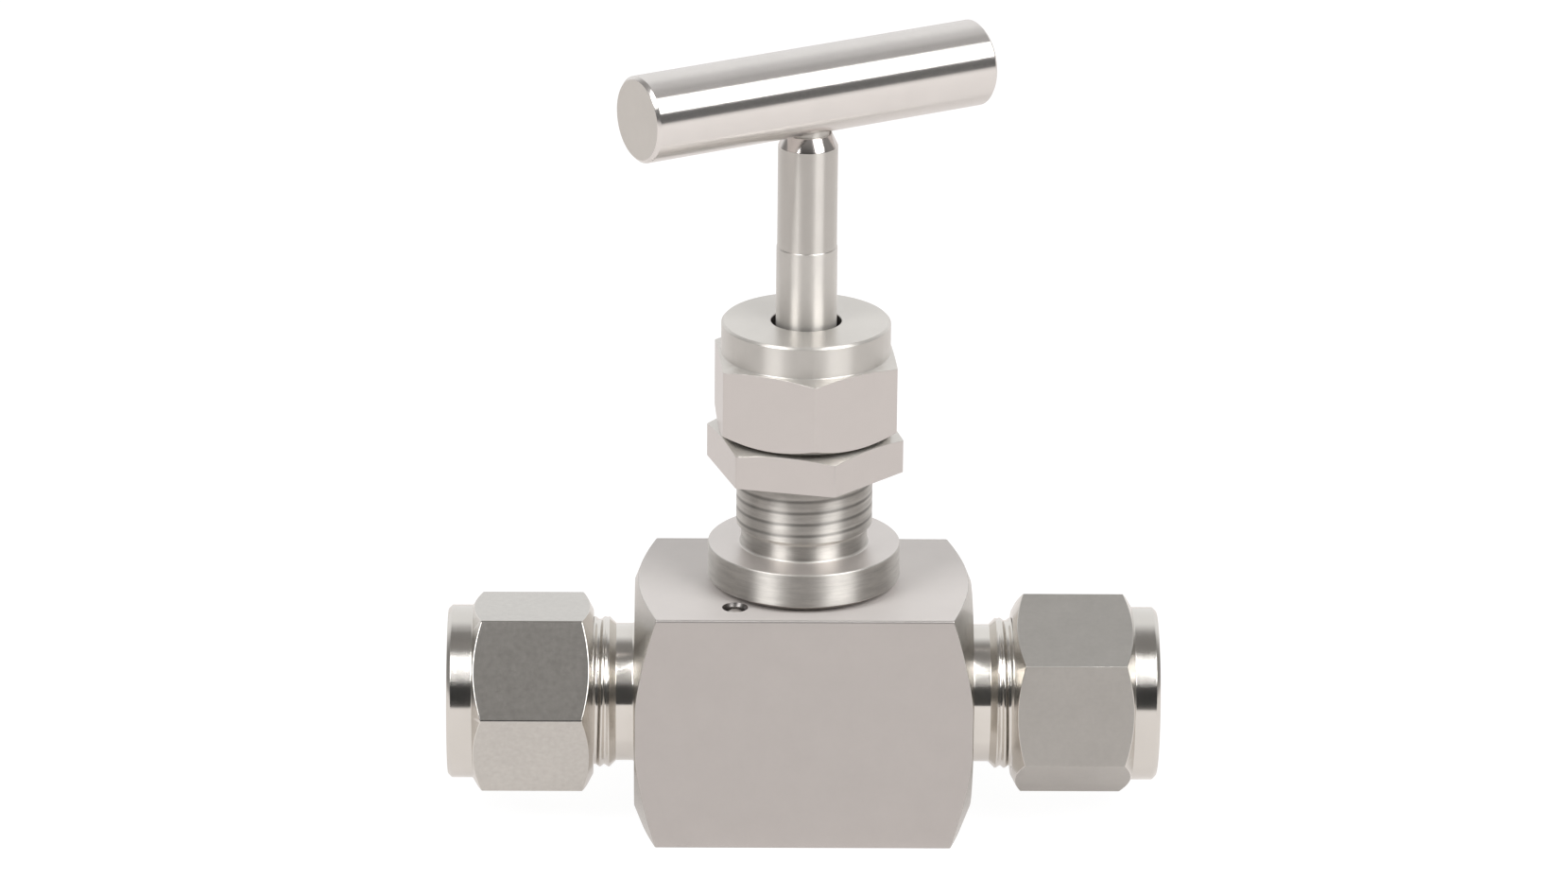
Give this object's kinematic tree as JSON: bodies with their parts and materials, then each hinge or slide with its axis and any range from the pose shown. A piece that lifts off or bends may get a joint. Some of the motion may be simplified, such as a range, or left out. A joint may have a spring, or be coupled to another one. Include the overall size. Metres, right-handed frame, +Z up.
{
  "type": "needle valve",
  "caption": "In-line bar stock needle valve for a gauge line: screwed bonnet with packing nut and panel lock nut, T-bar stem, and a compression fitting for tube at each end.",
  "frame": {"origin": "middle of the valve body's flat underside, under the stem", "axes": "+Z up along the stem, +X along the flow axis out of the right port, +Y to the back; the front of the picture is -Y"},
  "size_m": [0.0886, 0.0328, 0.0996],
  "materials": {
    "body_steel": "satin, milled bar stock",
    "bonnet_steel": "satin, turned",
    "nut_steel": "satin, cold drawn hexagon",
    "tube_nut_steel": "satin, cold drawn hexagon",
    "stem_steel": "fine turned, polished in the packing",
    "bar_steel": "cold drawn, smooth",
    "bright_steel": "fine turned",
    "pin_steel": "satin",
    "ferrule_steel": "fine turned",
    "ball_steel": "polished",
    "packing_ptfe": "matt, white",
    "gasket_ptfe": "matt, white"
  },
  "bodies": {
    "root": {"valve_body": "body_steel", "bonnet": "bonnet_steel", "bonnet_gasket": "gasket_ptfe", "bonnet_lock_pin": "pin_steel", "packing_support_ring": "bright_steel", "packing_ring_1": "packing_ptfe", "packing_ring_2": "packing_ptfe", "packing_ring_3": "packing_ptfe"},
    "needle": {"needle_tip": "bright_steel"},
    "stem": {"stem": "stem_steel", "thrust_ball": "ball_steel", "handle_bar": "bar_steel"},
    "gland": {"gland_follower": "bright_steel"},
    "packing_nut": {"packing_nut": "nut_steel"},
    "lock_nut": {"lock_nut": "nut_steel"},
    "ferrules_left": {"front_ferrule_left": "ferrule_steel", "back_ferrule_left": "ferrule_steel"},
    "ferrules_right": {"front_ferrule_right": "ferrule_steel", "back_ferrule_right": "ferrule_steel"},
    "tube_nut_left": {"tube_nut_left": "tube_nut_steel"},
    "tube_nut_right": {"tube_nut_right": "tube_nut_steel"}
  },
  "joints": [
    {"name": "needle_slide", "type": "slide", "parent": "root", "child": "needle", "axis": [0, 0, 1], "range_m": [0, 0.006]},
    {"name": "stem_turn", "type": "hinge", "parent": "needle", "child": "stem", "pos_m": [0, 0, 0.03], "axis": [0, 0, 1], "range_deg": [0, 1440]},
    {"name": "gland_slide", "type": "slide", "parent": "root", "child": "gland", "axis": [0, 0, 1], "range_m": [0, 0.003]},
    {"name": "packing_nut_turn", "type": "hinge", "parent": "gland", "child": "packing_nut", "pos_m": [0, 0, 0.0555], "axis": [0, 0, 1], "range_deg": [0, 720]},
    {"name": "lock_nut_turn", "type": "hinge", "parent": "root", "child": "lock_nut", "pos_m": [0, 0, 0.0482], "axis": [0, 0, 1], "range_deg": [-90, 0]},
    {"name": "left_ferrule_slide", "type": "slide", "parent": "root", "child": "ferrules_left", "axis": [-1, 0, 0], "range_m": [0, 0.0102]},
    {"name": "left_nut_turn", "type": "hinge", "parent": "ferrules_left", "child": "tube_nut_left", "pos_m": [-0.035, 0, 0.01525], "axis": [-1, 0, 0], "range_deg": [0, 2880]},
    {"name": "right_ferrule_slide", "type": "slide", "parent": "root", "child": "ferrules_right", "axis": [1, 0, 0], "range_m": [0, 0.0102]},
    {"name": "right_nut_turn", "type": "hinge", "parent": "ferrules_right", "child": "tube_nut_right", "pos_m": [0.035, 0, 0.01525], "axis": [1, 0, 0], "range_deg": [0, 2880]}
  ],
  "couplings": [
    {"joint": "needle_slide", "follows": "stem_turn", "m_per_rad": 0.00023873},
    {"joint": "gland_slide", "follows": "packing_nut_turn", "m_per_rad": 0.00023873},
    {"joint": "left_ferrule_slide", "follows": "left_nut_turn", "m_per_rad": 0.00020213},
    {"joint": "right_ferrule_slide", "follows": "right_nut_turn", "m_per_rad": 0.00020213}
  ]
}
